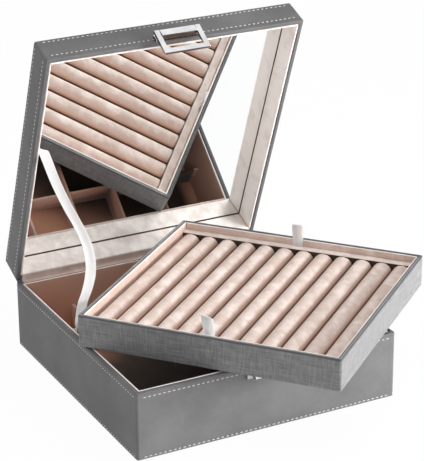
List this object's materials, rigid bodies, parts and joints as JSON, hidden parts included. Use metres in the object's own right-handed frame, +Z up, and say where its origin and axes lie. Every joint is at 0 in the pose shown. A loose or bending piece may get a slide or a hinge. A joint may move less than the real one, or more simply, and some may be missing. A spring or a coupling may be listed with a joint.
{
  "type": "tiered jewelry box",
  "caption": "Grey leather jewelry box, lid open on a ribbon stay, mirror in the lid, divided case, and a lift-out tray of padded ring rolls lying turned across the rim",
  "frame": {"origin": "centre of the case's underside, in the plane that it stands on", "axes": "+Z up, -Y towards the front with the catch, +X to the right seen from the front"},
  "size_m": [0.343, 0.375, 0.3259],
  "materials": {
    "grey_leather": "fine-grained grey leather with pale stitching",
    "tray_linen": "grey leather pressed with a linen grain",
    "velvet": "pinkish cream velvet",
    "felt": "dark felt",
    "fibreboard": "raw fibreboard",
    "mirror_glass": "silvered glass",
    "chrome": "bright plated casting",
    "satin": "white satin ribbon"
  },
  "bodies": {
    "base": {"base_leather_cover": "grey_leather", "base_underside_felt": "felt", "base_wall_front": "fibreboard", "base_wall_back": "fibreboard", "base_wall_left": "fibreboard", "base_wall_right": "fibreboard", "base_floor_board": "fibreboard", "base_lining": "velvet", "base_floor_pad": "velvet", "divider_cross": "velvet", "divider_long": "velvet", "divider_cell_1": "velvet", "divider_cell_3": "velvet", "divider_cell_4": "velvet", "catch_plate": "chrome", "hinge_leather_strip": "grey_leather", "hinge_cloth_strip": "velvet", "stay_ribbon": "satin"},
    "lid": {"lid_leather_cover": "grey_leather", "lid_wall_front": "fibreboard", "lid_wall_back": "fibreboard", "lid_wall_left": "fibreboard", "lid_wall_right": "fibreboard", "lid_top_board": "fibreboard", "lid_mirror": "mirror_glass", "lid_lining": "velvet", "clasp_plate": "chrome", "clasp_pin": "chrome"},
    "clasp": {"clasp_loop": "chrome"},
    "tray": {"tray_cover": "tray_linen", "tray_underside_felt": "felt", "tray_wall_front": "fibreboard", "tray_wall_back": "fibreboard", "tray_wall_left": "fibreboard", "tray_wall_right": "fibreboard", "tray_floor_board": "fibreboard", "tray_lining": "velvet", "tray_foam_bed": "velvet", "tray_ledge_front": "velvet", "tray_ledge_back": "velvet", "ring_roll_01": "velvet", "ring_roll_02": "velvet", "ring_roll_03": "velvet", "ring_roll_04": "velvet", "ring_roll_05": "velvet", "ring_roll_06": "velvet", "ring_roll_07": "velvet", "ring_roll_08": "velvet", "ring_roll_09": "velvet", "ring_roll_10": "velvet", "ring_roll_11": "velvet", "ring_roll_12": "velvet", "tray_tab_front": "satin", "tray_tab_back": "satin"}
  },
  "joints": [
    {"name": "lid_hinge", "type": "hinge", "parent": "base", "child": "lid", "pos_m": [0, 0.13415, 0.0663], "axis": [-1, 0, 0], "range_deg": [-12, 27], "deforming": ["hinge_leather_strip", "hinge_cloth_strip", "stay_ribbon"]},
    {"name": "clasp_hinge", "type": "hinge", "parent": "lid", "child": "clasp", "pos_m": [0, 0.03989, 0.32361], "axis": [-1, 0, 0], "range_deg": [0, 170]},
    {"name": "tray_lift", "type": "slide", "parent": "base", "child": "tray", "axis": [0, -0.7071, 0.7071], "range_m": [0, 0.22]}
  ]
}
